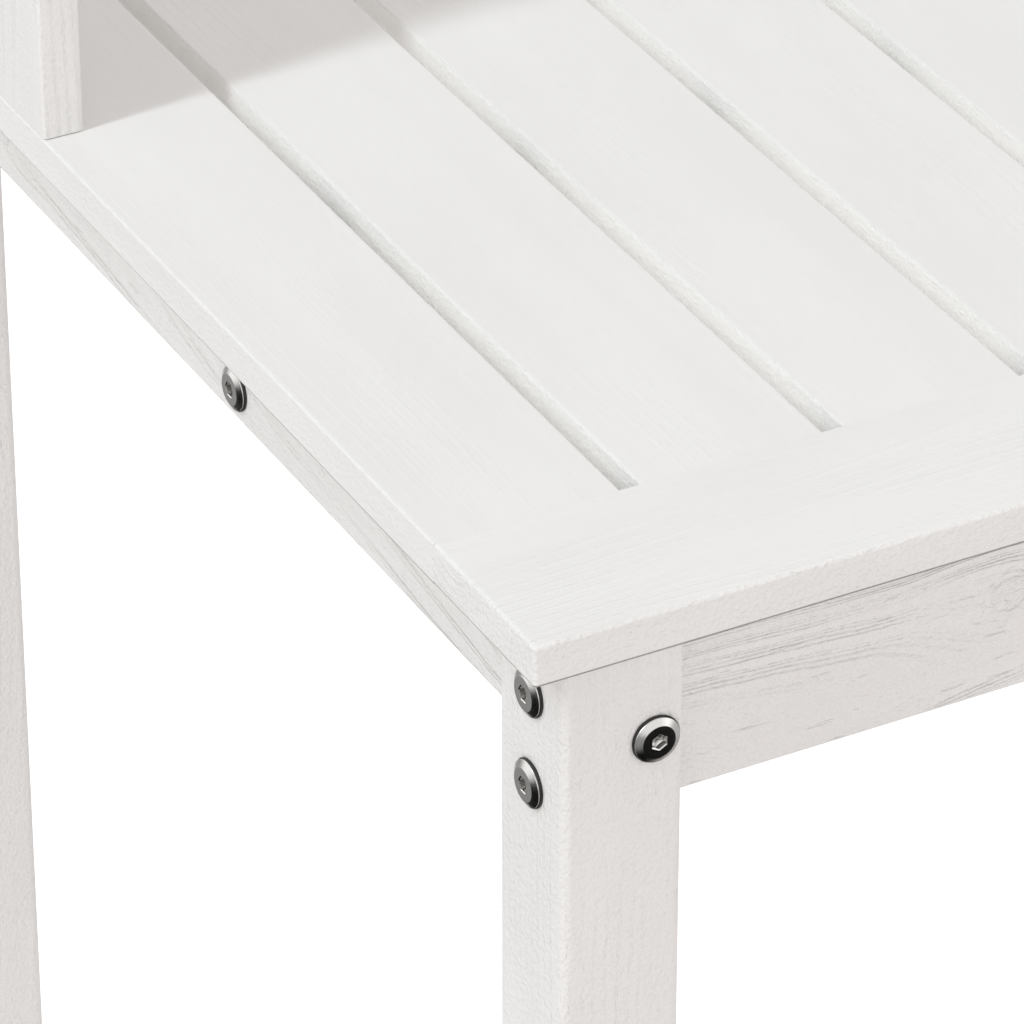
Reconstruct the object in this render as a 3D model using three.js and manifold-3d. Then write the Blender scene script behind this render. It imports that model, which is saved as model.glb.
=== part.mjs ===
// A white-painted pine potting bench: a slatted worktop on four square legs, a slatted lower
// shelf between the legs, and a rack with an upper shelf standing on the back of the worktop.
//
// Millimetres, +Z up. The origin is on the floor under the middle of the bench. +X is the
// bench's right-hand side as its user stands at the front, and the front is towards -Y.

import * as THREE from 'three';
import { mergeVertices } from 'three/addons/utils/BufferGeometryUtils.js';
import Module from 'manifold-3d';

// Overall size
const WIDTH = 1080;
const DEPTH = 600;
const HEIGHT = 1095;
const WORKTOP_HEIGHT = 780;
const GAP = 0.3; // clearance between pieces that meet

// Stock that the bench is cut from
const BOARD_WIDTH = 70;
const BOARD_THICKNESS = 16;
const BOARD_ROUNDING = 1.6;
const RAIL_HEIGHT = 70;
const RAIL_THICKNESS = 20;
const LEG_SIDE = 45;
const LEG_ROUNDING = 3;
const BATTEN_THICKNESS = 20;

// Where the legs and rails stand
const LEG_INSET_SIDE = 13; // worktop edge to the leg's outer face
const LEG_INSET_FRONT = 4; // worktop edge to the leg's front face
const SIDE_RAIL_INSET = 24; // leg's outer face to the side rail's outer face
const MIDDLE_RAIL_SETBACK = 296; // worktop's front edge to the middle of the middle rail

// Worktop
const SLAT_COUNT = 14;
const SEAM_BATTEN_WIDTH = 28;

// Lower shelf
const LOWER_RAIL_BOTTOM = 70;
const LOWER_BOARD_COUNT = 4;
const LOWER_SHELF_SETBACK = 100; // worktop's front edge to the lower shelf's front edge
const LOWER_SHELF_DEPTH = 340;
const LOWER_BATTEN_WIDTH = 45;

// Rack
const POST_FRONT = 375; // worktop's front edge to the rack's front face
const POST_WIDTH = 105;
const CLEAT_HEIGHT = 45;
const SHELF_BOARD_COUNT = 3;

// M6 connector bolts with barrel nuts
const BOLT_RADIUS = 2.95;
const BOLT_HOLE_RADIUS = 3.3;
const BOLT_ENGAGEMENT = 35; // length of bolt inside the rail's end
const WASHER_RADIUS = 8.8;
const WASHER_TOP = 1.1; // above the wood
const HEAD_RADIUS = 8.5;
const HEAD_RIM_TOP = 1.6;
const HEAD_FLAT_RADIUS = 6;
const HEAD_TOP = 3;
const SOCKET_ACROSS_FLATS = 5;
const SOCKET_DEPTH = 2.4;
const BARREL_RADIUS = 5;
const BARREL_LENGTH = 14;
const BARREL_DISTANCE = 27; // from the rail's end to the barrel nut's axis
const BARREL_HOLE_RADIUS = 5.4;
const BARREL_HOLE_DEPTH = 17.5;
const BOLT_DROP_UPPER = 20.5; // below the top of the rail
const BOLT_DROP_LOWER = 56.5;
const BOLT_DROP_MIDDLE = 36;
const ROUND_SEGMENTS = 20;
const SHANK_SEGMENTS = 12;

// Planes that follow from the dimensions above
const SIDE = WIDTH / 2;
const FRONT = -DEPTH / 2;
const BACK = DEPTH / 2;
const WORKTOP_BOTTOM = WORKTOP_HEIGHT - BOARD_THICKNESS;
const FRAME_TOP = WORKTOP_BOTTOM - GAP;
const LEG_OUTER_X = SIDE - LEG_INSET_SIDE;
const LEG_INNER_X = LEG_OUTER_X - LEG_SIDE;
const LEG_OUTER_Y = BACK - LEG_INSET_FRONT;
const LEG_INNER_Y = LEG_OUTER_Y - LEG_SIDE;
const SIDE_RAIL_OUTER_X = LEG_OUTER_X - SIDE_RAIL_INSET;
const SIDE_RAIL_INNER_X = SIDE_RAIL_OUTER_X - RAIL_THICKNESS;
const SIDE_RAIL_X = (SIDE_RAIL_OUTER_X + SIDE_RAIL_INNER_X) / 2;
const LONG_RAIL_Y = LEG_OUTER_Y - LEG_SIDE / 2;
const SEAM_Y = FRONT + BOARD_WIDTH;
const MIDDLE_RAIL_Y = FRONT + MIDDLE_RAIL_SETBACK;
const RACK_FRONT_Y = FRONT + POST_FRONT;
const POST_INNER_X = SIDE - BOARD_THICKNESS;
const SHELF_BOTTOM = HEIGHT - BOARD_THICKNESS;
const LOWER_RAIL_TOP = LOWER_RAIL_BOTTOM + RAIL_HEIGHT;
const LOWER_SHELF_FRONT_Y = FRONT + LOWER_SHELF_SETBACK;
const SLAT_PITCH = (WIDTH - BOARD_WIDTH) / (SLAT_COUNT - 1);

const wasm = await Module();
wasm.setup();

const X_AXIS = new THREE.Vector3(1, 0, 0);
const Y_AXIS = new THREE.Vector3(0, 1, 0);

const PAINTED_PINE = { color: 0xe6e4e2, roughness: 0.55, metalness: 0 };
const ZINC_STEEL = { color: 0x8f8c89, roughness: 0.3, metalness: 0.9 };

const bench = new THREE.Group();

// ---------------------------------------------------------------- solids

function toManifold(geometry) {
  const bare = geometry.clone();
  bare.deleteAttribute('normal');
  bare.deleteAttribute('uv');
  const merged = mergeVertices(bare, 1e-4);
  return new wasm.Manifold(new wasm.Mesh({
    numProp: 3,
    vertProperties: new Float32Array(merged.attributes.position.array),
    triVerts: new Uint32Array(merged.index.array),
  }));
}

function toGeometry(manifold) {
  const mesh = manifold.getMesh();
  const geometry = new THREE.BufferGeometry();
  geometry.setAttribute('position', new THREE.BufferAttribute(mesh.vertProperties, 3));
  geometry.setIndex(new THREE.BufferAttribute(mesh.triVerts, 1));
  geometry.computeVertexNormals();
  return geometry;
}

function cut(geometry, cutters) {
  let solid = toManifold(geometry);
  for (const cutter of cutters) {
    solid = solid.subtract(toManifold(cutter));
  }
  return toGeometry(solid);
}

function addPart(name, geometry, finish) {
  const mesh = new THREE.Mesh(geometry, new THREE.MeshStandardMaterial(finish));
  mesh.name = name;
  bench.add(mesh);
}

// ---------------------------------------------------------------- timber

// A rectangle with rounded corners, centred on the origin.
function roundedRectangle(width, height, radius) {
  const x = width / 2;
  const y = height / 2;
  const shape = new THREE.Shape();
  shape.moveTo(-x + radius, -y);
  shape.lineTo(x - radius, -y);
  shape.absarc(x - radius, -y + radius, radius, -Math.PI / 2, 0);
  shape.lineTo(x, y - radius);
  shape.absarc(x - radius, y - radius, radius, 0, Math.PI / 2);
  shape.lineTo(-x + radius, y);
  shape.absarc(-x + radius, y - radius, radius, Math.PI / 2, Math.PI);
  shape.lineTo(-x, -y + radius);
  shape.absarc(-x + radius, -y + radius, radius, Math.PI, Math.PI * 1.5);
  return shape;
}

// A length of timber filling the box from low to high, with its four long edges rounded.
function timber(low, high, rounding) {
  const size = high.map((value, axis) => value - low[axis]);
  const middle = high.map((value, axis) => (value + low[axis]) / 2);
  const along = size.indexOf(Math.max(...size));
  const section = [[size[2], size[1]], [size[0], size[2]], [size[0], size[1]]][along];
  const geometry = new THREE.ExtrudeGeometry(roundedRectangle(...section, rounding), {
    depth: size[along],
    bevelEnabled: false,
    curveSegments: 2,
  });
  geometry.translate(0, 0, -size[along] / 2);
  if (along === 0) {
    geometry.rotateY(Math.PI / 2);
  }
  if (along === 1) {
    geometry.rotateX(Math.PI / 2);
  }
  geometry.translate(...middle);
  return geometry;
}

// A cylinder that starts at a point and runs along an axis.
function drill(start, direction, radius, length, segments) {
  const geometry = new THREE.CylinderGeometry(radius, radius, length, segments);
  geometry.translate(0, length / 2, 0);
  geometry.applyQuaternion(new THREE.Quaternion().setFromUnitVectors(Y_AXIS, direction));
  geometry.translate(start.x, start.y, start.z);
  return geometry;
}

// ---------------------------------------------------------------- bolts

// Every bolt: where its axis meets the outer wood face, the way it is driven in, how thick the
// outer piece is, and the way that its barrel nut is put in from the rail's hidden face.
const bolts = [];

function addBolt(name, outer, driven, rail, at, into, outerThickness, barrelSide) {
  bolts.push({ name, outer, driven, rail, at, into, outerThickness, barrelSide });
}

const heights = {
  upper: WORKTOP_BOTTOM - BOLT_DROP_UPPER,
  lower: WORKTOP_BOTTOM - BOLT_DROP_LOWER,
  middle: WORKTOP_BOTTOM - BOLT_DROP_MIDDLE,
};

for (const [sideName, side] of [['left', -1], ['right', 1]]) {
  const inward = X_AXIS.clone().multiplyScalar(-side);
  for (const [endName, end] of [['front', -1], ['back', 1]]) {
    const leg = `leg_${endName}_${sideName}`;
    const towardMiddle = Y_AXIS.clone().multiplyScalar(-end);
    for (const level of ['upper', 'lower']) {
      addBolt(`bolt_${endName}_rail_${sideName}_${level}`, leg, inward, `top_rail_${endName}`,
        new THREE.Vector3(side * LEG_OUTER_X, end * LONG_RAIL_Y, heights[level]),
        inward, LEG_SIDE, towardMiddle);
    }
    addBolt(`bolt_side_rail_${sideName}_${endName}`, leg, towardMiddle, `top_rail_${sideName}`,
      new THREE.Vector3(side * SIDE_RAIL_X, end * LEG_OUTER_Y, heights.middle),
      towardMiddle, LEG_SIDE, inward);
  }
  for (const level of ['upper', 'lower']) {
    addBolt(`bolt_middle_rail_${sideName}_${level}`, `top_rail_${sideName}`, inward,
      'top_rail_middle', new THREE.Vector3(side * SIDE_RAIL_OUTER_X, MIDDLE_RAIL_Y, heights[level]),
      inward, RAIL_THICKNESS, Y_AXIS);
  }
}

// The middle of a bolt's barrel nut.
function barrelCentre(bolt) {
  const distance = bolt.outerThickness + GAP + BARREL_DISTANCE;
  return bolt.at.clone().addScaledVector(bolt.driven, distance);
}

// The holes that the bolts need in one piece of timber.
function holesIn(part) {
  const holes = [];
  for (const bolt of bolts) {
    if (bolt.outer !== part && bolt.rail !== part) {
      continue;
    }
    const start = bolt.at.clone().addScaledVector(bolt.driven, -1);
    const length = 1 + bolt.outerThickness + BOLT_ENGAGEMENT + 1;
    holes.push(drill(start, bolt.driven, BOLT_HOLE_RADIUS, length, SHANK_SEGMENTS));
    if (bolt.rail === part) {
      const mouth = barrelCentre(bolt).addScaledVector(bolt.barrelSide, RAIL_THICKNESS / 2 + 1);
      const inward = bolt.barrelSide.clone().negate();
      const depth = BARREL_HOLE_DEPTH + 1;
      holes.push(drill(mouth, inward, BARREL_HOLE_RADIUS, depth, ROUND_SEGMENTS));
    }
  }
  return holes;
}

// A connector bolt with its washer under the head and its barrel nut on the thread. The lathe
// profile runs from the point of the shank to the crown of the head, along the bolt's axis.
function boltSet(bolt) {
  const length = bolt.outerThickness + BOLT_ENGAGEMENT;
  const profile = [
    [0, -length],
    [BOLT_RADIUS - 0.8, -length],
    [BOLT_RADIUS, -length + 0.8],
    [BOLT_RADIUS, GAP],
    [WASHER_RADIUS, GAP],
    [WASHER_RADIUS, WASHER_TOP],
    [HEAD_RADIUS, WASHER_TOP],
    [HEAD_RADIUS, HEAD_RIM_TOP],
    [HEAD_FLAT_RADIUS, HEAD_TOP],
    [0, HEAD_TOP],
  ].map(([radius, height]) => new THREE.Vector2(radius, height));
  const turned = new THREE.LatheGeometry(profile, ROUND_SEGMENTS);
  const socket = new THREE.CylinderGeometry(
    SOCKET_ACROSS_FLATS / Math.sqrt(3), SOCKET_ACROSS_FLATS / Math.sqrt(3), SOCKET_DEPTH + 1, 6);
  socket.translate(0, HEAD_TOP - SOCKET_DEPTH / 2 + 0.5, 0);
  const outward = bolt.driven.clone().negate();
  for (const geometry of [turned, socket]) {
    geometry.applyQuaternion(new THREE.Quaternion().setFromUnitVectors(Y_AXIS, outward));
    geometry.translate(bolt.at.x, bolt.at.y, bolt.at.z);
  }
  const bottomOfHole = RAIL_THICKNESS / 2 - BARREL_HOLE_DEPTH + GAP;
  const start = barrelCentre(bolt).addScaledVector(bolt.barrelSide, bottomOfHole);
  const barrel = drill(start, bolt.barrelSide, BARREL_RADIUS, BARREL_LENGTH, SHANK_SEGMENTS);
  return toGeometry(toManifold(turned).subtract(toManifold(socket)).add(toManifold(barrel)));
}

// ---------------------------------------------------------------- the pieces of timber

function addTimber(name, low, high, rounding = BOARD_ROUNDING) {
  addPart(name, cut(timber(low, high, rounding), holesIn(name)), PAINTED_PINE);
}

// The same piece on the left and on the right, given for the right-hand side.
function addPair(prefix, suffix, low, high, rounding) {
  addTimber(`${prefix}_right${suffix}`, low, high, rounding);
  addTimber(`${prefix}_left${suffix}`, [-high[0], low[1], low[2]], [-low[0], high[1], high[2]],
    rounding);
}

function addLegs() {
  addPair('leg_back', '', [LEG_INNER_X, LEG_INNER_Y, 0], [LEG_OUTER_X, LEG_OUTER_Y, FRAME_TOP],
    LEG_ROUNDING);
  addPair('leg_front', '', [LEG_INNER_X, -LEG_OUTER_Y, 0],
    [LEG_OUTER_X, -LEG_INNER_Y, FRAME_TOP], LEG_ROUNDING);
}

function addTopFrame() {
  const bottom = WORKTOP_BOTTOM - RAIL_HEIGHT;
  const half = RAIL_THICKNESS / 2;
  const longEnd = LEG_INNER_X - GAP;
  const middleEnd = SIDE_RAIL_INNER_X - GAP;
  const sideEnd = LEG_INNER_Y - GAP;
  addTimber('top_rail_front', [-longEnd, -LONG_RAIL_Y - half, bottom],
    [longEnd, -LONG_RAIL_Y + half, FRAME_TOP]);
  addTimber('top_rail_back', [-longEnd, LONG_RAIL_Y - half, bottom],
    [longEnd, LONG_RAIL_Y + half, FRAME_TOP]);
  addTimber('top_rail_middle', [-middleEnd, MIDDLE_RAIL_Y - half, bottom],
    [middleEnd, MIDDLE_RAIL_Y + half, FRAME_TOP]);
  addPair('top_rail', '', [SIDE_RAIL_INNER_X, -sideEnd, bottom],
    [SIDE_RAIL_OUTER_X, sideEnd, FRAME_TOP]);
  addTimber('seam_batten',
    [-middleEnd, SEAM_Y - SEAM_BATTEN_WIDTH / 2, FRAME_TOP - BATTEN_THICKNESS],
    [middleEnd, SEAM_Y + SEAM_BATTEN_WIDTH / 2, FRAME_TOP]);
}

function addWorktop() {
  addTimber('worktop_front_board', [-SIDE, FRONT, WORKTOP_BOTTOM], [SIDE, SEAM_Y, WORKTOP_HEIGHT]);
  for (let index = 0; index < SLAT_COUNT; index += 1) {
    const left = -SIDE + index * SLAT_PITCH;
    addTimber(`worktop_slat_${String(index + 1).padStart(2, '0')}`,
      [left, SEAM_Y + GAP, WORKTOP_BOTTOM], [left + BOARD_WIDTH, BACK, WORKTOP_HEIGHT]);
  }
}

function addLowerShelf() {
  const sideEnd = LEG_INNER_Y - GAP;
  const pitch = (LOWER_SHELF_DEPTH - BOARD_WIDTH) / (LOWER_BOARD_COUNT - 1);
  addPair('lower_rail', '', [SIDE_RAIL_INNER_X, -sideEnd, LOWER_RAIL_BOTTOM],
    [SIDE_RAIL_OUTER_X, sideEnd, LOWER_RAIL_TOP]);
  for (let index = 0; index < LOWER_BOARD_COUNT; index += 1) {
    const front = LOWER_SHELF_FRONT_Y + index * pitch;
    addTimber(`lower_shelf_board_${index + 1}`, [-LEG_OUTER_X, front, LOWER_RAIL_TOP + GAP],
      [LEG_OUTER_X, front + BOARD_WIDTH, LOWER_RAIL_TOP + GAP + BOARD_THICKNESS]);
  }
  addTimber('lower_shelf_batten',
    [-LOWER_BATTEN_WIDTH / 2, LOWER_SHELF_FRONT_Y, LOWER_RAIL_TOP - BATTEN_THICKNESS],
    [LOWER_BATTEN_WIDTH / 2, LOWER_SHELF_FRONT_Y + LOWER_SHELF_DEPTH, LOWER_RAIL_TOP]);
}

function addRack() {
  const foot = WORKTOP_HEIGHT + GAP;
  const top = SHELF_BOTTOM - GAP;
  const pitch = (BACK - RACK_FRONT_Y - BOARD_WIDTH) / (SHELF_BOARD_COUNT - 1);
  addPair('rack_post', '_front', [POST_INNER_X, RACK_FRONT_Y, foot],
    [SIDE, RACK_FRONT_Y + POST_WIDTH, top]);
  addPair('rack_post', '_back', [POST_INNER_X, BACK - POST_WIDTH, foot],
    [SIDE, BACK, top]);
  addPair('rack_cleat', '',
    [POST_INNER_X - GAP - BATTEN_THICKNESS, RACK_FRONT_Y, top - CLEAT_HEIGHT],
    [POST_INNER_X - GAP, BACK - BOARD_THICKNESS - GAP, top]);
  addTimber('rack_back_rail', [-POST_INNER_X + GAP, BACK - BOARD_THICKNESS, top - BOARD_WIDTH],
    [POST_INNER_X - GAP, BACK, top]);
  for (let index = 0; index < SHELF_BOARD_COUNT; index += 1) {
    const front = RACK_FRONT_Y + index * pitch;
    addTimber(`upper_shelf_board_${index + 1}`, [-SIDE, front, SHELF_BOTTOM],
      [SIDE, front + BOARD_WIDTH, HEIGHT]);
  }
}

addLegs();
addTopFrame();
addWorktop();
addLowerShelf();
addRack();
for (const bolt of bolts) {
  addPart(bolt.name, boltSet(bolt), ZINC_STEEL);
}

export default bench;
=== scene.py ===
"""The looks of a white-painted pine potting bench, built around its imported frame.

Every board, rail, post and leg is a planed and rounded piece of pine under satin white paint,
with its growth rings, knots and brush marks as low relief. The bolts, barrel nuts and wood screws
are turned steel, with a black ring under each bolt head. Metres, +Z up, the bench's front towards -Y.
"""

import math
import random

import bmesh
import bpy
import numpy as np
from mathutils import Matrix, Vector


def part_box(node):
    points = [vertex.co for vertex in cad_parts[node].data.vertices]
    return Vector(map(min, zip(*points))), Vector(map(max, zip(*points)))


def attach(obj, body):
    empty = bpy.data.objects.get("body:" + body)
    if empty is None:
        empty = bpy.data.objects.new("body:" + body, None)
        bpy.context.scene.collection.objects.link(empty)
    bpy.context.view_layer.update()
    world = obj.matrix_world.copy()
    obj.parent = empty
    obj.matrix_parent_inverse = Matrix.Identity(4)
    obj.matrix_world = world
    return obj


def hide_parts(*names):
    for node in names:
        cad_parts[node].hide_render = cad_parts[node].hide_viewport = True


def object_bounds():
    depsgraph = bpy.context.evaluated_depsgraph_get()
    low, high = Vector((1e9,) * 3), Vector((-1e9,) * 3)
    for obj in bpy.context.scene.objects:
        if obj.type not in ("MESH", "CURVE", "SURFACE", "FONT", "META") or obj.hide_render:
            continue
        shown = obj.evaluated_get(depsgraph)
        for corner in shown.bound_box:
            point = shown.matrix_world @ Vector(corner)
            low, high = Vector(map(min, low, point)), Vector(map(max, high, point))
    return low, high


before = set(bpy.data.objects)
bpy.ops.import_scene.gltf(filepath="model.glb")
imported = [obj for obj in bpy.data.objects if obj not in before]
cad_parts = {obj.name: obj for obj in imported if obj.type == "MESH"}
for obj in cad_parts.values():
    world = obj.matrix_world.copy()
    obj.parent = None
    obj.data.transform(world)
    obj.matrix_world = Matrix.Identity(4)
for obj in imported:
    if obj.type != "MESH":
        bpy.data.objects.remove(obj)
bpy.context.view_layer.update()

MM = 0.001
SEED = 41

# Timber
BOARD_ROUNDING = 1.5 * MM
SLAT_ROUNDING = 1.1 * MM
LEG_ROUNDING = 3.0 * MM
SAWN_ROUNDING = 0.5 * MM
ROUNDING_STEPS = 5
BUTT_GAP = 0.03 * MM
SHARP_ANGLE = math.radians(40)

# White paint, with painted light on the slats' facing sides and painted shade along lower edges
PAINT_DULL = (0.822, 0.817, 0.809, 1)
PAINT_CLEAN = (0.848, 0.844, 0.837, 1)
PAINTED_GAP_LIGHT = (0.97, 0.965, 0.955, 1)
PAINT_ROUGHNESS = 0.44
PAINTED_EDGE_SHADE = (0.3, 0.29, 0.28, 1)
PAINTED_EDGE_SHADE_REACH = 0.75 * BOARD_ROUNDING

# Relief under and in the paint, in millimetres
RING_SPACING = 4.2
RING_HEIGHT = 0.16
KNOT_HEIGHT = 0.16
DENT_DEPTH = 0.06
PEEL_HEIGHT = 0.27
BRUSH_HEIGHT = 0.02
FIBRE_HEIGHT = 0.012
SKIN_MEAN = (PEEL_HEIGHT + BRUSH_HEIGHT + FIBRE_HEIGHT) / 2

# Bolts, black rings and barrel nuts, as in the frame
HEAD_TOP = 3.0 * MM
SHANK_RADIUS = 2.95 * MM
BOLT_HOLE_RADIUS = 3.3 * MM
LOWER_BOLT_LENGTH = 80 * MM
BARREL_FROM_TIP = 7.7 * MM
BARREL_RADIUS = 5.0 * MM
BARREL_LENGTH = 14.0 * MM
BARREL_HOLE_RADIUS = 5.4 * MM
BARREL_HOLE_DEPTH = 17.5 * MM
RAIL_THICKNESS = 20 * MM
TURNED_STEPS = 48
BOLT_HOLE_STEPS = 24
BARREL_HOLE_STEPS = 40
BOLT_SHARP_ANGLE = math.radians(24)
TURNED_SHARP_ANGLE = math.radians(30)
TOOL_MARK_PITCH = 2.6

# Wood screws: how far they stand in from a board's long edges
SEAM_SCREW_INSET = 7 * MM
SHELF_SCREW_INSET = 17 * MM
BATTEN_SCREW_INSET = 20 * MM
POST_SCREW_INSET = 22 * MM
FOOT_SCREW_INSET = 30 * MM

# Soft light: its strength above and below the horizon, and what the upper front adds
SOFT_ABOVE = 0.60
SOFT_BELOW = 1.01
SOFT_FRONT = 0.48
SOFT_COLOR = (1.0, 0.958, 0.937, 1)
FLOOR_GLOW = 0.55

# Key light: a tall narrow softbox far to the bench's left
KEY_BEARING = math.radians(5.4)
KEY_HEIGHT = math.radians(50)
KEY_DISTANCE = 20.0
KEY_SPREAD = (math.radians(4.4), math.radians(38))
KEY_STRENGTH = 1.21
KEY_COLOR = (0.894, 0.981, 1.0)

# Camera: its place from the worktop's front left lower corner, and where it looks
CAMERA_FROM_CORNER = Vector((-0.8169, -1.5180, 1.1641))
CAMERA_BEARING = math.radians(28.05)
CAMERA_PITCH = math.radians(32.46)
CAMERA_LENS = 228.5

AXES = (Vector((1, 0, 0)), Vector((0, 1, 0)), Vector((0, 0, 1)))


# ------------------------------------------------------------------ shader nodes


def node(tree, kind, *inputs, **settings):
    """A shader node. Each input is a number, a tuple or another node's socket, in socket order;
    None leaves that socket as it is."""
    made = tree.nodes.new(kind)
    for key, value in settings.items():
        setattr(made, key, value)
    for socket, value in zip(made.inputs, inputs):
        if isinstance(value, bpy.types.NodeSocket):
            tree.links.new(value, socket)
        elif value is not None:
            socket.default_value = value
    return made


def calc(tree, operation, *inputs):
    """A Math node's result."""
    return node(tree, "ShaderNodeMath", *inputs, operation=operation).outputs[0]


def product(tree, first, second):
    """Two values multiplied."""
    return calc(tree, "MULTIPLY", first, second)


def hypotenuse(tree, first, second):
    """The length of the third side of a right triangle."""
    squares = calc(tree, "ADD", product(tree, first, first), product(tree, second, second))
    return calc(tree, "SQRT", squares)


def vector_calc(tree, operation, *inputs):
    """A Vector Math node's vector."""
    return node(tree, "ShaderNodeVectorMath", *inputs, operation=operation).outputs[0]


def noise(tree, coordinates, scale, detail=2.0, roughness=0.5):
    """Noise from 0 to 1, around 0.5, at scales given along the grain, across it and through."""
    stretched = vector_calc(tree, "MULTIPLY", coordinates, scale)
    texture = node(tree, "ShaderNodeTexNoise", stretched)
    texture.inputs["Scale"].default_value = 1.0
    texture.inputs["Detail"].default_value = detail
    texture.inputs["Roughness"].default_value = roughness
    return texture.outputs["Fac"]


def fade(tree, value, start, end, low=0.0, high=1.0):
    """A smooth step of value, from low at start to high at end."""
    step = node(tree, "ShaderNodeMapRange", value, start, end, low, high)
    step.interpolation_type = "SMOOTHSTEP"
    return step.outputs[0]


def blend_color(tree, factor, low, high):
    """A colour between two others. Each is a tuple or another node's socket."""
    mix = node(tree, "ShaderNodeMix", data_type="RGBA")
    tree.links.new(factor, mix.inputs[0])
    for socket, value in ((mix.inputs[6], low), (mix.inputs[7], high)):
        if isinstance(value, bpy.types.NodeSocket):
            tree.links.new(value, socket)
        else:
            socket.default_value = value
    return mix.outputs[2]


def attribute(tree, name):
    """A piece's own vector attribute."""
    return node(tree, "ShaderNodeAttribute", attribute_name=name).outputs["Vector"]


def in_millimetres(tree, name):
    """A piece's own vector attribute, from metres to millimetres."""
    return vector_calc(tree, "MULTIPLY", attribute(tree, name), (1 / MM,) * 3)


def new_group(name, inputs, outputs):
    """A shader node group with named sockets, and its inner ends."""
    tree = bpy.data.node_groups.new(name, "ShaderNodeTree")
    for label, kind, default in inputs:
        socket = tree.interface.new_socket(label, in_out="INPUT", socket_type=kind)
        if default is not None:
            socket.default_value = default
    for label, kind in outputs:
        tree.interface.new_socket(label, in_out="OUTPUT", socket_type=kind)
    return tree, tree.nodes.new("NodeGroupInput").outputs, tree.nodes.new("NodeGroupOutput").inputs


def use_group(tree, group, **inputs):
    """A group placed in a material, with its inputs set or linked by name."""
    made = node(tree, "ShaderNodeGroup")
    made.node_tree = group
    for key, value in inputs.items():
        socket = made.inputs[key.replace("_", " ")]
        if isinstance(value, bpy.types.NodeSocket):
            tree.links.new(value, socket)
        else:
            socket.default_value = value
    return made.outputs


def new_material(name):
    """A material with only its Principled BSDF and output."""
    material = bpy.data.materials.new(name)
    material.use_nodes = True
    shader = material.node_tree.nodes["Principled BSDF"]
    return material, material.node_tree, shader


def bump(tree, height):
    """A Bump node whose height is in millimetres."""
    made = node(tree, "ShaderNodeBump")
    made.inputs["Strength"].default_value = 1.0
    made.inputs["Distance"].default_value = MM
    tree.links.new(height, made.inputs["Height"])
    return made.outputs["Normal"]


# ------------------------------------------------------------------ finishes


def knot_distance(tree, knot, grain):
    """How far out of a knot a point is, in ragged knot radii, longer along the grain."""
    along = calc(tree, "DIVIDE", knot[0], 1.25)
    ragged = calc(tree, "MULTIPLY_ADD", noise(tree, grain, (0.09, 0.13, 0.13)), 1.3, 0.35)
    return product(tree, calc(tree, "DIVIDE", hypotenuse(tree, along, knot[1]), knot[2]), ragged)


def ring_radius(tree, pith, knot, grain):
    """How far from the pith a growth ring was, as rings part round the knot and wander."""
    stretched = calc(tree, "DIVIDE", knot[0], product(tree, knot[2], 4.5))
    across = calc(tree, "DIVIDE", knot[1], product(tree, knot[2], 2.6))
    reach = calc(tree, "ADD", product(tree, stretched, stretched), product(tree, across, across))
    parting = calc(tree, "EXPONENT", product(tree, reach, -1.0))
    wander = calc(tree, "MULTIPLY_ADD", noise(tree, grain, (0.006, 0.02, 0.02), 1.0), 16.0, -8.0)
    flicker = calc(tree, "MULTIPLY_ADD", noise(tree, grain, (0.03, 0.16, 0.16)), 2.4, -1.2)
    shift = calc(tree, "MULTIPLY_ADD", product(tree, knot[1], parting), -0.85, wander)
    side = calc(tree, "ADD", pith[0], calc(tree, "ADD", shift, flicker))
    depth = calc(tree, "MULTIPLY_ADD", wander, 0.6, pith[1])
    return hypotenuse(tree, side, depth)


def pine_grain_group():
    """Growth rings and a knot of one board, as relief between about -1 and 1.

    Grain is the place in the board in millimetres, along, across and through it, with the
    board's own offset. Pith is the place across and through it from the tree's pith, and Knot
    the place along and across it from the board's knot, with the knot's radius last."""
    tree, given, result = new_group(
        "pine_grain",
        [
            ("Grain", "NodeSocketVector", None),
            ("Pith", "NodeSocketVector", None),
            ("Knot", "NodeSocketVector", None),
            ("Ring Spacing", "NodeSocketFloat", RING_SPACING),
        ],
        [("Rings", "NodeSocketFloat"), ("Knot Relief", "NodeSocketFloat")],
    )
    pith = node(tree, "ShaderNodeSeparateXYZ", given["Pith"]).outputs
    knot = node(tree, "ShaderNodeSeparateXYZ", given["Knot"]).outputs

    # late wood stands a little proud: a thin ridge with a soft hollow beside it, once a ring
    radius = ring_radius(tree, pith, knot, given["Grain"])
    turn = calc(tree, "FRACT", calc(tree, "DIVIDE", radius, given["Ring Spacing"]))
    ridge = product(tree, fade(tree, turn, 0.58, 0.72), fade(tree, turn, 0.94, 0.78))
    hollow = product(tree, fade(tree, turn, 0.0, 0.1), fade(tree, turn, 0.26, 0.12))
    tree.links.new(calc(tree, "MULTIPLY_ADD", hollow, -0.6, ridge), result["Rings"])

    # a knot has rings of its own, inside a sunken rim
    radii = knot_distance(tree, knot, given["Grain"])
    swirl = product(tree, calc(tree, "SINE", product(tree, radii, 13.0)), 0.3)
    inside = product(tree, swirl, fade(tree, radii, 1.25, 0.85))
    rim = product(tree, fade(tree, radii, 0.8, 1.05), fade(tree, radii, 1.45, 1.1))
    tree.links.new(calc(tree, "SUBTRACT", inside, rim), result["Knot Relief"])
    return tree


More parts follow.
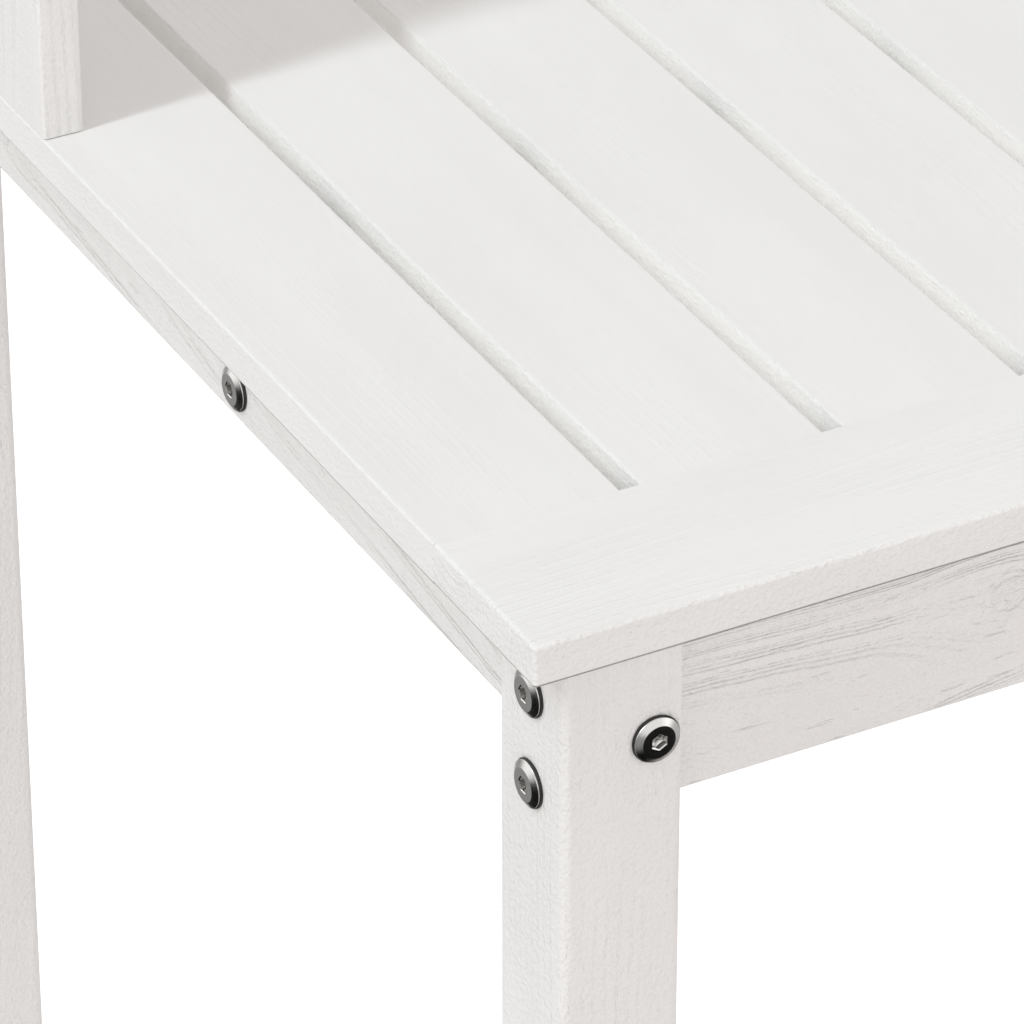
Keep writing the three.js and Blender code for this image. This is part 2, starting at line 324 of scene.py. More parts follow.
def paint_skin_group():
    """What a brushed coat of paint leaves on timber, as relief in millimetres about zero: orange
    peel, brush marks along the grain and raised fibres. Also blotches and a few short dents."""
    tree, given, result = new_group(
        "paint_skin",
        [("Grain", "NodeSocketVector", None)],
        [("Height", "NodeSocketFloat"), ("Blotches", "NodeSocketFloat"), ("Dents", "NodeSocketFloat")],
    )
    where = given["Grain"]
    peel = noise(tree, where, (0.5, 0.62, 0.62), 2.0, 0.55)
    brush = noise(tree, where, (0.035, 0.9, 0.9), 2.0, 0.6)
    fibre = noise(tree, where, (0.16, 2.2, 2.2), 2.0, 0.6)
    smooth = calc(tree, "MULTIPLY_ADD", peel, PEEL_HEIGHT, product(tree, brush, BRUSH_HEIGHT))
    rough = calc(tree, "MULTIPLY_ADD", fibre, FIBRE_HEIGHT, smooth)
    tree.links.new(calc(tree, "SUBTRACT", rough, SKIN_MEAN), result["Height"])
    tree.links.new(noise(tree, where, (0.008, 0.03, 0.03), 3.0, 0.55), result["Blotches"])
    dent = fade(tree, noise(tree, where, (0.05, 0.55, 0.55), 1.0), 0.69, 0.76, 0.0, -1.0)
    tree.links.new(dent, result["Dents"])
    return tree


def painted_pine(grain_group, skin_group):
    """Satin white paint over pine, with painted light whitening the slats' facing sides and painted
    shade darkening the rounding along lower edges.
    """
    material, tree, shader = new_material("white_painted_pine")
    where, pith, knot = (in_millimetres(tree, name) for name in ("grain", "pith", "knot"))
    wood_relief, skin_relief, _ = node(tree, "ShaderNodeSeparateXYZ", attribute(tree, "relief")).outputs
    gap_light, edge_shade, _ = node(tree, "ShaderNodeSeparateXYZ", attribute(tree, "painted_light_and_shade")).outputs
    grain = use_group(tree, grain_group, Grain=where, Pith=pith, Knot=knot)
    skin = use_group(tree, skin_group, Grain=where)

    # the paint fills most rings, which show only near the knot and in streaks along the board
    streaks = fade(tree, noise(tree, where, (0.008, 0.05, 0.05), 1.0), 0.36, 0.62, 0.12)
    from_knot = node(tree, "ShaderNodeSeparateXYZ", knot).outputs
    near_knot = fade(tree, hypotenuse(tree, from_knot[0], from_knot[1]), 45.0, 12.0, 0.0, 0.9)
    shown = product(tree, grain["Rings"], calc(tree, "MAXIMUM", streaks, near_knot))
    knots = product(tree, grain["Knot Relief"], KNOT_HEIGHT)
    figure = calc(tree, "MULTIPLY_ADD", shown, RING_HEIGHT, knots)
    wood = calc(tree, "MULTIPLY_ADD", skin["Dents"], DENT_DEPTH, figure)
    height = calc(tree, "MULTIPLY_ADD", skin["Height"], skin_relief, product(tree, wood, wood_relief))

    paint = blend_color(tree, fade(tree, skin["Blotches"], 0.3, 0.7), PAINT_DULL, PAINT_CLEAN)
    # painted light: the slats' facing sides are whitened against the shade in the gaps
    paint = blend_color(tree, gap_light, paint, PAINTED_GAP_LIGHT)
    # painted shade: the rounding along lower edges is darkened towards a dark grey
    tree.links.new(blend_color(tree, edge_shade, paint, PAINTED_EDGE_SHADE), shader.inputs["Base Color"])
    gloss = calc(tree, "MULTIPLY_ADD", skin["Blotches"], 0.16, PAINT_ROUGHNESS)
    tree.links.new(gloss, shader.inputs["Roughness"])
    tree.links.new(bump(tree, height), shader.inputs["Normal"])
    return material


def turning_group():
    """The marks of a lathe tool: fine rings by the distance from the turning axis, and smears."""
    tree, given, result = new_group(
        "turning_marks",
        [("Turning", "NodeSocketVector", None), ("Pitch", "NodeSocketFloat", TOOL_MARK_PITCH)],
        [("Height", "NodeSocketFloat"), ("Smears", "NodeSocketFloat")],
    )
    parts = node(tree, "ShaderNodeSeparateXYZ", given["Turning"]).outputs
    pitched = product(tree, parts[0], given["Pitch"])
    line = node(tree, "ShaderNodeCombineXYZ", pitched, parts[1], 0.0).outputs[0]
    tree.links.new(noise(tree, line, (1.0, 1.0, 1.0), 2.0, 0.6), result["Height"])
    tree.links.new(noise(tree, line, (0.2, 3.0, 1.0)), result["Smears"])
    return tree


def turned_metal(name, turning, dark, light, roughness, relief):
    """A turned metal: dark and light are its colours between the tool marks."""
    material, tree, shader = new_material(name)
    place = vector_calc(tree, "MULTIPLY", attribute(tree, "turning"), (1 / MM, 1.0, 1.0))
    marks = use_group(tree, turning, Turning=place)
    color = blend_color(tree, marks["Smears"], (*dark, 1), (*light, 1))
    tree.links.new(color, shader.inputs["Base Color"])
    shader.inputs["Metallic"].default_value = 1.0
    gloss = calc(tree, "MULTIPLY_ADD", marks["Smears"], 0.16, roughness)
    tree.links.new(gloss, shader.inputs["Roughness"])
    tree.links.new(bump(tree, product(tree, marks["Height"], relief)), shader.inputs["Normal"])
    return material


def black_ring_finish():
    """The black ring under a bolt head."""
    material, tree, shader = new_material("black_washer")
    where = node(tree, "ShaderNodeTexCoord").outputs["Object"]
    speckle = noise(tree, where, (900.0, 900.0, 900.0))
    color = blend_color(tree, speckle, (0.008, 0.008, 0.008, 1), (0.022, 0.021, 0.02, 1))
    tree.links.new(color, shader.inputs["Base Color"])
    tree.links.new(calc(tree, "MULTIPLY_ADD", speckle, 0.2, 0.45), shader.inputs["Roughness"])
    tree.links.new(bump(tree, product(tree, speckle, 0.02)), shader.inputs["Normal"])
    return material


# ------------------------------------------------------------------ mesh making


def finish_piece(name, bm, material, sharp=SHARP_ANGLE):
    """Makes a piece of a bmesh, smooth but for its sharp edges, that rides on the bench."""
    bmesh.ops.recalc_face_normals(bm, faces=bm.faces)
    for face in bm.faces:
        face.smooth = True
    mesh = bpy.data.meshes.new(name)
    bm.to_mesh(mesh)
    bm.free()
    mesh.set_sharp_from_angle(angle=sharp)
    piece = bpy.data.objects.new(name, mesh)
    bpy.context.scene.collection.objects.link(piece)
    mesh.materials.append(material)
    even = piece.modifiers.new("even_shading", "WEIGHTED_NORMAL")
    even.keep_sharp = True
    even.weight = 100
    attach(piece, "root")
    return piece


def store(piece, name, values):
    """Keeps one vector for each vertex of a piece."""
    layer = piece.data.attributes.new(name, "FLOAT_VECTOR", "POINT")
    layer.data.foreach_set("vector", np.asarray(values, np.float32).ravel())


def vertex_places(piece):
    """A piece's vertices as an array."""
    places = np.zeros(len(piece.data.vertices) * 3, np.float32)
    piece.data.vertices.foreach_get("co", places)
    return places.reshape(-1, 3).astype(float)


def cylinder(bm, centre, axis, radius, length, steps):
    """A closed cylinder about a centre, along an axis."""
    turn = Vector((0, 0, 1)).rotation_difference(axis).to_matrix().to_4x4()
    bmesh.ops.create_cone(
        bm,
        cap_ends=True,
        segments=steps,
        radius1=radius,
        radius2=radius,
        depth=length,
        matrix=Matrix.Translation(centre) @ turn,
    )


def carve(bm, cutter):
    """Cuts one closed bmesh out of another and returns the result."""
    objects = []
    for label, part in (("carved", bm), ("cutter", cutter)):
        bmesh.ops.recalc_face_normals(part, faces=part.faces)
        mesh = bpy.data.meshes.new(label)
        part.to_mesh(mesh)
        part.free()
        made = bpy.data.objects.new(label, mesh)
        bpy.context.scene.collection.objects.link(made)
        objects.append(made)
    target, tool = objects
    cut = target.modifiers.new("cut", "BOOLEAN")
    cut.operation = "DIFFERENCE"
    cut.solver = "EXACT"
    cut.object = tool
    evaluated = target.evaluated_get(bpy.context.evaluated_depsgraph_get())
    result = bmesh.new()
    result.from_mesh(evaluated.to_mesh())
    for made in objects:
        mesh = made.data
        bpy.data.objects.remove(made)
        bpy.data.meshes.remove(mesh)
    return result


# ------------------------------------------------------------------ bolts


class Bolt:
    """One connector bolt of the frame: where it stands and which way it points."""

    def __init__(self, name):
        low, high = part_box(name)
        size = high - low
        self.name = name.replace("bolt_", "connector_bolt_")
        self.node = name
        axis = max(range(3), key=lambda index: size[index])
        middle = (low + high) / 2
        self.out = AXES[axis] * (1 if middle[axis] > 0 else -1)
        end = high if middle[axis] > 0 else low
        self.surface = middle.copy()
        self.surface[axis] = end[axis] - self.out[axis] * HEAD_TOP
        self.length = size[axis] - HEAD_TOP
        self.barrel = self.surface - self.out * (self.length - BARREL_FROM_TIP)
        across = 0 if axis == 1 else 1
        self.mouth = AXES[across] * (-1 if self.surface[across] > 0 else 1)
        if "middle_rail" in name:
            self.mouth = AXES[1].copy()

    def crosses(self, low, high):
        """Whether the shank runs through a box."""
        tip = self.surface - self.out * self.length
        for index in range(3):
            near = min(self.surface[index], tip[index]) - SHANK_RADIUS
            far = max(self.surface[index], tip[index]) + SHANK_RADIUS
            if far < low[index] or near > high[index]:
                return False
        return True

    def drill(self, bm):
        """Adds the bolt's hole to a cutter."""
        middle = self.surface - self.out * (self.length / 2)
        cylinder(bm, middle, self.out, BOLT_HOLE_RADIUS, self.length + 4 * MM, BOLT_HOLE_STEPS)

    def drill_barrel(self, bm, rail_thickness):
        """Adds the barrel nut's blind hole to a cutter."""
        start = self.barrel + self.mouth * (rail_thickness / 2 + MM)
        depth = BARREL_HOLE_DEPTH + MM
        middle = start - self.mouth * (depth / 2)
        cylinder(bm, middle, self.mouth, BARREL_HOLE_RADIUS, depth, BARREL_HOLE_STEPS)


def lathe(bm, profile, steps=TURNED_STEPS):
    """Spins a profile of (radius, height) points about Z. It starts and ends on the axis or
    closes on itself."""
    verts = [bm.verts.new((radius, 0, height)) for radius, height in profile]
    edges = [bm.edges.new(pair) for pair in zip(verts, verts[1:])]
    bmesh.ops.spin(
        bm,
        geom=verts + edges,
        cent=(0, 0, 0),
        axis=(0, 0, 1),
        angle=math.tau,
        steps=steps,
        use_merge=True,
    )
    bmesh.ops.remove_doubles(bm, verts=bm.verts, dist=1e-6)


def stand(bm, surface, out):
    """Turns a bmesh made about +Z to point out of a surface, and puts it there."""
    turn = Vector((0, 0, 1)).rotation_difference(out).to_matrix().to_4x4()
    bmesh.ops.transform(bm, matrix=Matrix.Translation(surface) @ turn, verts=bm.verts)


def mark_turning(piece, centre, axis):
    """Stores the distance from a turned piece's axis, its height along it and its bearing."""
    places = vertex_places(piece) - np.array(centre)
    height = places @ np.array(axis)
    radial = places - height[:, None] * np.array(axis)
    radius = np.linalg.norm(radial, axis=1)
    store(piece, "turning", np.column_stack([radius, height * 100, radial[:, 0]]))


def connector_head_profile(length):
    """Shank, underside, rim, cone, crown and socket of a connector bolt, in metres."""
    points = [
        (0, -length / MM),
        (2.1, -length / MM),
        (2.95, -length / MM + 0.85),
        (2.95, 1.1),
        (8.25, 1.1),
        (8.42, 1.14),
        (8.5, 1.25),
        (8.5, 1.5),
        (8.44, 1.62),
        (8.3, 1.72),
        (6.25, 2.88),
        (6.1, 2.96),
        (5.9, 3.0),
        (2.85, 3.0),
        (2.5, 2.75),
        (2.5, 0.75),
        (2.3, 0.6),
        (0, -0.4),
    ]
    return [(radius * MM, height * MM) for radius, height in points]


def hexagon(angle):
    """How far a hexagon of apothem 1 reaches at an angle."""
    third = math.pi / 3
    return 1 / math.cos((angle + third / 2) % third - third / 2)


def in_socket(vert):
    """Whether a vertex of a bolt about +Z is on its socket's wall or mouth."""
    radius = math.hypot(vert.co.x, vert.co.y)
    on_shank = abs(radius - SHANK_RADIUS) < 1e-6
    return vert.co.z > 0.3 * MM and 1 * MM < radius < 3.2 * MM and not on_shank


def make_bolt(bolt, metal, ring_finish):
    """A connector bolt with a hexagon socket, and a black ring under its head."""
    bm = bmesh.new()
    lathe(bm, connector_head_profile(bolt.length))
    for vert in filter(in_socket, bm.verts):
        reach = hexagon(math.atan2(vert.co.y, vert.co.x))
        vert.co.x *= reach
        vert.co.y *= reach
    stand(bm, bolt.surface, bolt.out)
    piece = finish_piece(bolt.name, bm, metal, BOLT_SHARP_ANGLE)
    mark_turning(piece, bolt.surface, bolt.out)

    # a matt black ring under the head, a little wider than it
    ring = bmesh.new()
    outline = [(3.3, 0.02), (8.7, 0.02), (8.85, 0.2), (8.85, 0.9), (8.7, 1.08), (3.3, 1.08), (3.3, 0.02)]
    lathe(ring, [(radius * MM, height * MM) for radius, height in outline])
    stand(ring, bolt.surface, bolt.out)
    finish_piece(bolt.name + "_washer", ring, ring_finish)
    return piece


def make_barrel_nut(bolt, metal):
    """A barrel nut with a chamfered end and a slot for turning it in line."""
    body = bmesh.new()
    edge = 0.6 * MM
    low_end = [(0, 0), (BARREL_RADIUS - edge, 0), (BARREL_RADIUS, edge)]
    high_end = [(radius, BARREL_LENGTH - height) for radius, height in reversed(low_end)]
    lathe(body, low_end + high_end, 32)
    slot = bmesh.new()
    bmesh.ops.create_cube(slot, size=1.0)
    bmesh.ops.scale(slot, vec=(1.2 * MM, 12 * MM, 2.4 * MM), verts=slot.verts)
    bmesh.ops.translate(slot, vec=(0, 0, BARREL_LENGTH), verts=slot.verts)
    body = carve(body, slot)
    start = bolt.barrel + bolt.mouth * (RAIL_THICKNESS / 2 - BARREL_HOLE_DEPTH + 0.3 * MM)
    stand(body, start, bolt.mouth)
    nut = finish_piece(bolt.name + "_barrel_nut", body, metal, TURNED_SHARP_ANGLE)
    mark_turning(nut, start, bolt.mouth)


# ------------------------------------------------------------------ timber


# How much the growth rings and knots stand out on a kind of board, then its paint skin on top and
# elsewhere, by how the board's name starts
RELIEF = {
    "worktop_slat": (0.4, 0.35, 2.4),
    "worktop_front": (0.9, 0.5, 3.6),
    "upper_shelf": (0.6, 0.5, 2.4),
    "leg": (0.9, 3.2, 3.2),
    "top_rail": (5.0, 3.4, 3.4),
    "rack": (1.6, 2.4, 2.4),
}
PLAIN_RELIEF = (1.5, 1.0, 1.6)

draw = random.Random(SEED)


class Board:
    """One piece of timber: its box, which way its grain runs, and how its tree grew."""

    def __init__(self, name):
        self.name = name
        self.low, self.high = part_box(name)
        self.size = self.high - self.low
        order = sorted(range(3), key=lambda index: -self.size[index])
        self.along, self.across, self.through = order
        if abs(self.size[order[1]] - self.size[order[2]]) < MM:
            self.across, self.through = sorted(order[1:])
        self.offset = [draw.uniform(-4, 4) for _ in range(3)]
        self.pith = (draw.uniform(-50, 50) * MM, draw.choice((-1, 1)) * draw.uniform(18, 70) * MM)
        self.tilt = draw.uniform(-0.05, 0.05)
        half = self.size[self.along] / 2
        width = self.size[self.across] / 2
        self.knot = (draw.uniform(-0.85, 0.85) * half, draw.uniform(-0.6, 0.6) * width)
        self.knot_radius = draw.uniform(3.5, 8.0) * MM
        kinds = (value for key, value in RELIEF.items() if name.startswith(key))
        self.relief = next(kinds, PLAIN_RELIEF)

    def store_grain(self, piece):
        """Gives every vertex its place in the board, from the pith and from the knot. Then how
        strong its relief is, and where painted light and painted shade lie on its paint."""
        places = vertex_places(piece) - np.array((self.low + self.high) / 2)
        along = places[:, self.along]
        across = places[:, self.across]
        through = places[:, self.through]
        store(piece, "grain", np.column_stack([along, across, through]) + np.array(self.offset))
        from_pith = (across - self.pith[0], through - self.pith[1] + self.tilt * along)
        store(piece, "pith", np.column_stack([*from_pith, along]))
        radius = np.full(len(along), self.knot_radius)
        store(piece, "knot", np.column_stack([along - self.knot[0], across - self.knot[1], radius]))
        rings, top_skin, side_skin = self.relief
        on_top = places[:, 2] > self.size.z / 2 - 0.1 * MM
        skin = np.where(on_top, top_skin, side_skin)
        store(piece, "relief", np.column_stack([np.full(len(along), rings), skin, skin]))
        # where painted light whitens the slats' facing sides and painted shade darkens lower edges
        gap_light = between_slats(self, places) * (1 - on_top)
        edge_shade = along_lower_edges(self, places, along)
        store(piece, "painted_light_and_shade", np.column_stack([gap_light, edge_shade, edge_shade]))


def between_slats(board, places):
    """1 at the vertices of a slat's side that faces another slat, which get painted light that
    makes them whiter, and 0 elsewhere. Places are from the board's middle."""
    if not board.name.startswith("worktop_slat_"):
        return np.zeros(len(places))
    bench_low, bench_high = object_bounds()
    beyond = board.size.x / 2 - 0.1 * MM
    left = (places[:, 0] < -beyond) & (board.low.x > bench_low.x + MM)
    right = (places[:, 0] > beyond) & (board.high.x < bench_high.x - MM)
    return (left | right).astype(float)


def along_lower_edges(board, places, along):
    """1 at the vertices of the rounding along a top rail's or a worktop board's lower edges,
    which get painted shade, and 0 elsewhere. Places are from the board's middle."""
    if not board.name.startswith(("worktop_", "top_rail_")):
        return np.zeros(len(places))
    height = places[:, 2] + board.size.z / 2
    on_rounding = (height > 0.01 * MM) & (height < PAINTED_EDGE_SHADE_REACH)
    end = board.size[board.along] / 2 - 0.9 * SAWN_ROUNDING
    if board.name.startswith("worktop_slat_"):
        inside = along < end
    else:
        inside = (np.abs(along) < end) | (board.name == "worktop_front_board")
    return (on_rounding & inside).astype(float)


def round_edges(bm, edges, radius):
    """Rounds some edges of a board."""
    bmesh.ops.bevel(
        bm,
        geom=edges,
        offset=radius,
        offset_type="OFFSET",
        segments=ROUNDING_STEPS,
        profile=0.5,
        affect="EDGES",
        material=-1,
        clamp_overlap=True,
    )


def edges_along(bm, axis):
    """The edges of a box that run along an axis."""
    return [
        edge
        for edge in bm.edges
        if abs((edge.verts[0].co - edge.verts[1].co).normalized()[axis]) > 0.99
    ]


def at_ends(edge, board, low, high):
    """Whether an edge lies in one of a board's two end faces."""
    for vert in edge.verts:
        place = vert.co[board.along]
        if min(abs(place - low[board.along]), abs(place - high[board.along])) > 1e-6:
            return False
    return True


def make_board(board, finish, rounding=BOARD_ROUNDING, end_rounding=SAWN_ROUNDING, low=None, kept=None):
    """A board with rounded edges, drilled for the bolts that cross it. low moves its lowest
    corner. kept says which of its edges, by their middle point, stay square."""
    low = low or board.low
    high = board.high
    bm = bmesh.new()
    bmesh.ops.create_cube(bm, size=1.0)
    bmesh.ops.scale(bm, vec=high - low, verts=bm.verts)
    bmesh.ops.translate(bm, vec=(low + high) / 2, verts=bm.verts)
    square = kept or (lambda middle: False)

    def chosen(edges):
        return [edge for edge in edges if not square((edge.verts[0].co + edge.verts[1].co) / 2)]

    if end_rounding == rounding:
        round_edges(bm, chosen(bm.edges), rounding)
    else:
        round_edges(bm, chosen(edges_along(bm, board.along)), rounding)
        ends = [edge for edge in bm.edges if at_ends(edge, board, low, high)]
        round_edges(bm, chosen(ends), end_rounding)

    crossing = [bolt for bolt in bolts if bolt.crosses(board.low, board.high)]
    if crossing:
        cutter = bmesh.new()
        for bolt in crossing:
            bolt.drill(cutter)
        bm = carve(bm, cutter)
        nuts = [bolt for bolt in crossing if holds(board, bolt.barrel)]
        if nuts:
            cutter = bmesh.new()
            for bolt in nuts:
                bolt.drill_barrel(cutter, board.size[board.through])
            bm = carve(bm, cutter)
    piece = finish_piece("painted_" + board.name, bm, finish)
    board.store_grain(piece)
    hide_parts(board.name)


def holds(board, point):
    """Whether a point is inside a board's box."""
    return all(board.low[index] < point[index] < board.high[index] for index in range(3))


class LowerBolt(Bolt):
    """A connector bolt through a leg into the end of a lower side rail."""

    def __init__(self, leg, rail, side, end):
        middle = (rail.low + rail.high) / 2
        self.name = f"lower_rail_bolt_{side}_{end}"
        self.node = None
        self.out = AXES[1] * (1 if end == "back" else -1)
        self.surface = Vector((middle.x, leg.high.y if end == "back" else leg.low.y, middle.z))
        self.length = LOWER_BOLT_LENGTH
        self.barrel = self.surface - self.out * (self.length - BARREL_FROM_TIP)
        self.mouth = AXES[0] * (1 if side == "left" else -1)


# ------------------------------------------------------------------ screws


def screw_head():
    """A wood screw's raised countersunk head with a cross recess, about +Z."""
    head = bmesh.new()
    below = [(0, -4.0), (1.6, -3.9), (1.8, -3.0), (3.7, -0.35), (3.85, -0.1)]
    above = [(3.8, 0.2), (3.2, 0.5), (0, 0.8)]
    lathe(head, [(radius * MM, height * MM) for radius, height in below + above], 24)
    for quarter in range(2):
        arm = bmesh.new()
        bmesh.ops.create_cube(arm, size=1.0)
        bmesh.ops.scale(arm, vec=(3.6 * MM, 0.9 * MM, 2 * MM), verts=arm.verts)
        bmesh.ops.translate(arm, vec=(0, 0, (1.1 + 0.02 * quarter) * MM), verts=arm.verts)
        bmesh.ops.rotate(arm, verts=arm.verts, matrix=Matrix.Rotation(quarter * math.pi / 2, 3, "Z"))
        head = carve(head, arm)
    made = bpy.data.meshes.new("screw_head")
    head.to_mesh(made)
    head.free()
    return made


SCREW_HEAD = screw_head()


def make_screws(name, places, out, metal):
    """A row of like screws, as one piece."""
    bm = bmesh.new()
    for surface in places:
        head = bmesh.new()
        head.from_mesh(SCREW_HEAD)
        turned = Matrix.Rotation(draw.uniform(0, math.pi), 3, "Z")
        bmesh.ops.rotate(head, verts=head.verts, matrix=turned)
        stand(head, surface, out)
        placed = bpy.data.meshes.new("placed")
        head.to_mesh(placed)
        head.free()
        bm.from_mesh(placed)
        bpy.data.meshes.remove(placed)
    piece = finish_piece(name, bm, metal, TURNED_SHARP_ANGLE)
    centres = np.array([list(place) for place in places])
    verts = vertex_places(piece)
    nearest = centres[np.argmin(((verts[:, None] - centres[None]) ** 2).sum(2), axis=1)]
    offset = verts - nearest
    height = offset @ np.array(out)
    radial = np.linalg.norm(offset - height[:, None] * np.array(out), axis=1)
    store(piece, "turning", np.column_stack([radial, height * 100, nearest[:, 0] * 50]))


# ------------------------------------------------------------------ the bench

PINE = painted_pine(pine_grain_group(), paint_skin_group())
TURNING = turning_group()
BRIGHT_ZINC = turned_metal(
    "bright_zinc_bolt",
    TURNING,
    dark=(0.50, 0.49, 0.48),
    light=(0.66, 0.65, 0.63),
    roughness=0.16,
    relief=0.035,
)
DULL_ZINC = turned_metal(
    "dull_zinc_screw",
    TURNING,
    dark=(0.42, 0.41, 0.39),
    light=(0.60, 0.58, 0.54),
    roughness=0.3,
    relief=0.02,
)
BLACK_RING = black_ring_finish()

boards = {name: Board(name) for name in sorted(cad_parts) if not name.startswith("bolt_")}
bolts = [Bolt(name) for name in sorted(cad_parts) if name.startswith("bolt_")]
for side in ("left", "right"):
    for end in ("front", "back"):
        bolts.append(LowerBolt(boards[f"leg_{end}_{side}"], boards[f"lower_rail_{side}"], side, end))

# the front rail is cut wide of the pith, with its knot a hand's width in from the left leg
front_rail = boards["top_rail_front"]
front_rail.pith = (-14 * MM, 38 * MM)
front_rail.knot = (132 * MM - front_rail.size.x / 2, 3 * MM)
front_rail.knot_radius = 8 * MM

seam_y = boards["worktop_front_board"].high.y
for name, board in boards.items():
    if name.startswith("leg_"):
        make_board(board, PINE, LEG_ROUNDING)
    elif name == "worktop_front_board":
        make_board(board, PINE, end_rounding=BOARD_ROUNDING, kept=lambda middle: middle.y > seam_y - MM)
    elif name.startswith("worktop_slat_"):
        low = Vector((board.low.x, seam_y + BUTT_GAP, board.low.z))
        make_board(board, PINE, SLAT_ROUNDING, low=low, kept=lambda middle: middle.y < seam_y + MM)
    else:
        make_board(board, PINE)

for bolt in bolts:
    piece = make_bolt(bolt, BRIGHT_ZINC, BLACK_RING)
    if bolt.node:
        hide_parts(bolt.node)
    make_barrel_nut(bolt, BRIGHT_ZINC)


# ------------------------------------------------------------------ the bench's screws


def centre(board):
    """The middle of a board's box."""
    return (board.low + board.high) / 2


def pair_across(board, x, z, inset):
    """Two places across a board's depth, inset from its long edges."""
    return [Vector((x, y, z)) for y in (board.low.y + inset, board.high.y - inset)]


def screws_under_seam():
    """Upwards through the seam batten, into the front board and the slats."""
    batten = boards["seam_batten"]
    slats = [board for name, board in boards.items() if name.startswith("worktop_slat_")]
    under_slats = batten.high.y - SEAM_SCREW_INSET
    under_front = batten.low.y + SEAM_SCREW_INSET
    places = [Vector((centre(slat).x, under_slats, batten.low.z)) for slat in slats]
    places += [Vector((centre(slat).x, under_front, batten.low.z)) for slat in slats[::2]]
    return places, -AXES[2]


def screws_in_lower_boards():
    """Down through the ends of the lower shelf's boards into the lower rails."""
    places = []
    for name, board in boards.items():
        if name.startswith("lower_shelf_board_"):
            for side in ("left", "right"):
                rail = boards[f"lower_rail_{side}"]
                places += pair_across(board, centre(rail).x, board.high.z, SHELF_SCREW_INSET)
    return places, AXES[2]


def screws_under_lower_shelf():
    """Upwards through the lower batten into the lower shelf's boards."""
    batten = boards["lower_shelf_batten"]
    places = []
    for name, board in boards.items():
        if name.startswith("lower_shelf_board_"):
            for y in (board.low.y + BATTEN_SCREW_INSET, board.high.y - BATTEN_SCREW_INSET):
                x = centre(batten).x + (y - centre(board).y) * 0.4
                places.append(Vector((x, y, batten.low.z)))
    return places, -AXES[2]


def screws_in_upper_shelf():
    """Down through the ends of the upper shelf's boards into the rack's cleats."""
    places = []
    for name, board in boards.items():
        if name.startswith("upper_shelf_board_"):
            for side in ("left", "right"):
                cleat = boards[f"rack_cleat_{side}"]
                places += pair_across(board, centre(cleat).x, board.high.z, SHELF_SCREW_INSET)
    return places, AXES[2]


def screws_in_posts(side):
    """Sideways through the rack's posts into a cleat."""
    cleat = boards[f"rack_cleat_{side}"]
    places = []
    for end in ("front", "back"):
        post = boards[f"rack_post_{side}_{end}"]
        x = post.low.x if side == "left" else post.high.x
        places += pair_across(post, x, centre(cleat).z, POST_SCREW_INSET)
    return places, AXES[0] * (-1 if side == "left" else 1)


def screws_under_posts():
    """Upwards through the outer slats into the feet of the rack's posts."""
    places = []
    underside = boards["worktop_front_board"].low.z
    for side in ("left", "right"):
        for end in ("front", "back"):
            post = boards[f"rack_post_{side}_{end}"]
            places += pair_across(post, centre(post).x, underside, FOOT_SCREW_INSET)
    legs = [board for name, board in boards.items() if name.startswith("leg_")]
    return [place for place in places if not any(over_leg(leg, place) for leg in legs)], -AXES[2]


def over_leg(leg, place):
    """Whether a place lies over a leg, where no screw could be turned."""
    margin = 6 * MM
    over_x = leg.low.x - margin < place.x < leg.high.x + margin
    over_y = leg.low.y - margin < place.y < leg.high.y + margin
    return over_x and over_y


for side in ("left", "right"):
    make_screws(f"post_screws_{side}", *screws_in_posts(side), DULL_ZINC)

make_screws("seam_batten_screws", *screws_under_seam(), DULL_ZINC)
make_screws("lower_board_screws", *screws_in_lower_boards(), DULL_ZINC)
make_screws("lower_batten_screws", *screws_under_lower_shelf(), DULL_ZINC)
make_screws("upper_shelf_screws", *screws_in_upper_shelf(), DULL_ZINC)
make_screws("post_foot_screws", *screws_under_posts(), DULL_ZINC)


# ------------------------------------------------------------------ stage, light and camera


def make_floor():
    """A plain pale floor."""
    bm = bmesh.new()
    bmesh.ops.create_grid(bm, x_segments=2, y_segments=2, size=12)
    mesh = bpy.data.meshes.new("floor")
    bm.to_mesh(mesh)
    bm.free()
    floor = bpy.data.objects.new("floor", mesh)
    bpy.context.scene.collection.objects.link(floor)
    material, _, shader = new_material("pale_floor")
    shader.inputs["Base Color"].default_value = (0.9, 0.9, 0.9, 1)
    shader.inputs["Roughness"].default_value = 0.9
    shader.inputs["Specular IOR Level"].default_value = 0.0
    shader.inputs["Emission Color"].default_value = (1, 1, 1, 1)
    shader.inputs["Emission Strength"].default_value = FLOOR_GLOW
    mesh.materials.append(material)
    floor.visible_glossy = False
    floor.visible_diffuse = False


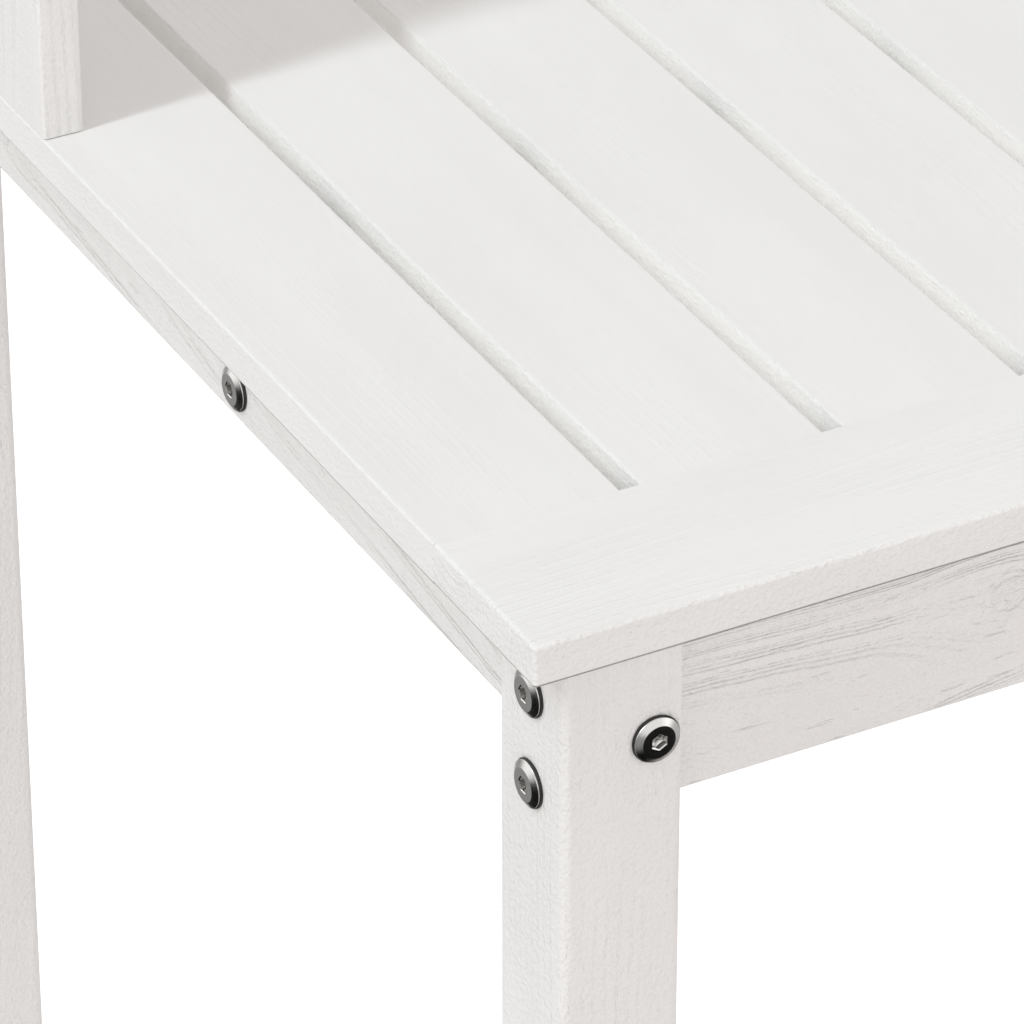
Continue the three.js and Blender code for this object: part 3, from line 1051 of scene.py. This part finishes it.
def make_world():
    """Warm soft light from all round, brightest from the pale floor and the upper front. The bolts
    mirror a brighter sky instead, over a dark ground that is grey towards the back, the right and
    the front left."""
    world = bpy.data.worlds.new("studio")
    bpy.context.scene.world = world
    world.use_nodes = True
    tree = world.node_tree
    tree.nodes.clear()
    direction = node(tree, "ShaderNodeTexCoord").outputs["Generated"]
    x, y, z = node(tree, "ShaderNodeSeparateXYZ", direction).outputs
    towards_front = calc(tree, "MAXIMUM", product(tree, y, -1.0), 0.0)
    front = product(tree, towards_front, fade(tree, z, -0.1, 0.1, 0.0, SOFT_FRONT))
    soft = calc(tree, "ADD", fade(tree, z, -0.1, 0.1, SOFT_BELOW, SOFT_ABOVE), front)
    diffuse = node(tree, "ShaderNodeBackground", SOFT_COLOR, soft)

    above = fade(tree, z, -0.15, 0.12, 0.0, 1.3)
    behind = product(tree, fade(tree, y, 0.1, 0.6, 0.0, 0.42), fade(tree, z, -0.9, -0.5))
    right = product(tree, fade(tree, x, 0.5, 0.8, 0.0, 0.7), fade(tree, z, -0.9, -0.5))
    front_left = product(tree, fade(tree, x, -0.25, -0.5, 0.0, 0.5), fade(tree, y, -0.3, -0.7))
    around = calc(tree, "ADD", calc(tree, "ADD", behind, right), front_left)
    reflected = node(tree, "ShaderNodeBackground", (1.0, 1.0, 1.0, 1), calc(tree, "ADD", above, around))
    is_gloss = node(tree, "ShaderNodeLightPath").outputs["Is Glossy Ray"]
    mixed = node(tree, "ShaderNodeMixShader", is_gloss, diffuse.outputs[0], reflected.outputs[0])
    output = node(tree, "ShaderNodeOutputWorld")
    tree.links.new(mixed.outputs[0], output.inputs["Surface"])


def make_key_light():
    """One tall narrow softbox from the bench's left, a little in front of it."""
    light = bpy.data.lights.new("key", "AREA")
    light.shape = "RECTANGLE"
    light.size, light.size_y = (2 * KEY_DISTANCE * math.tan(spread / 2) for spread in KEY_SPREAD)
    light.color = KEY_COLOR
    light.energy = KEY_STRENGTH * math.pi * KEY_DISTANCE**2
    key = bpy.data.objects.new("key", light)
    bpy.context.scene.collection.objects.link(key)
    level = math.cos(KEY_HEIGHT)
    across = -math.cos(KEY_BEARING) * level
    forward = -math.sin(KEY_BEARING) * level
    towards = Vector((across, forward, math.sin(KEY_HEIGHT)))
    key.location = towards * KEY_DISTANCE
    key.rotation_euler = towards.to_track_quat("Z", "Y").to_euler()


def make_camera():
    """Looks down from the front left on the near corner of the worktop."""
    data = bpy.data.cameras.new("camera")
    data.sensor_width = 36
    data.lens = CAMERA_LENS
    data.clip_end = 100
    camera = bpy.data.objects.new("camera", data)
    bpy.context.scene.collection.objects.link(camera)
    camera.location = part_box("worktop_front_board")[0] + CAMERA_FROM_CORNER
    camera.rotation_euler = (math.pi / 2 - CAMERA_PITCH, 0, -CAMERA_BEARING)
    bpy.context.scene.camera = camera


make_floor()
make_world()
make_key_light()
make_camera()
bpy.context.scene.view_settings.view_transform = "Standard"

bpy.context.view_layer.update()
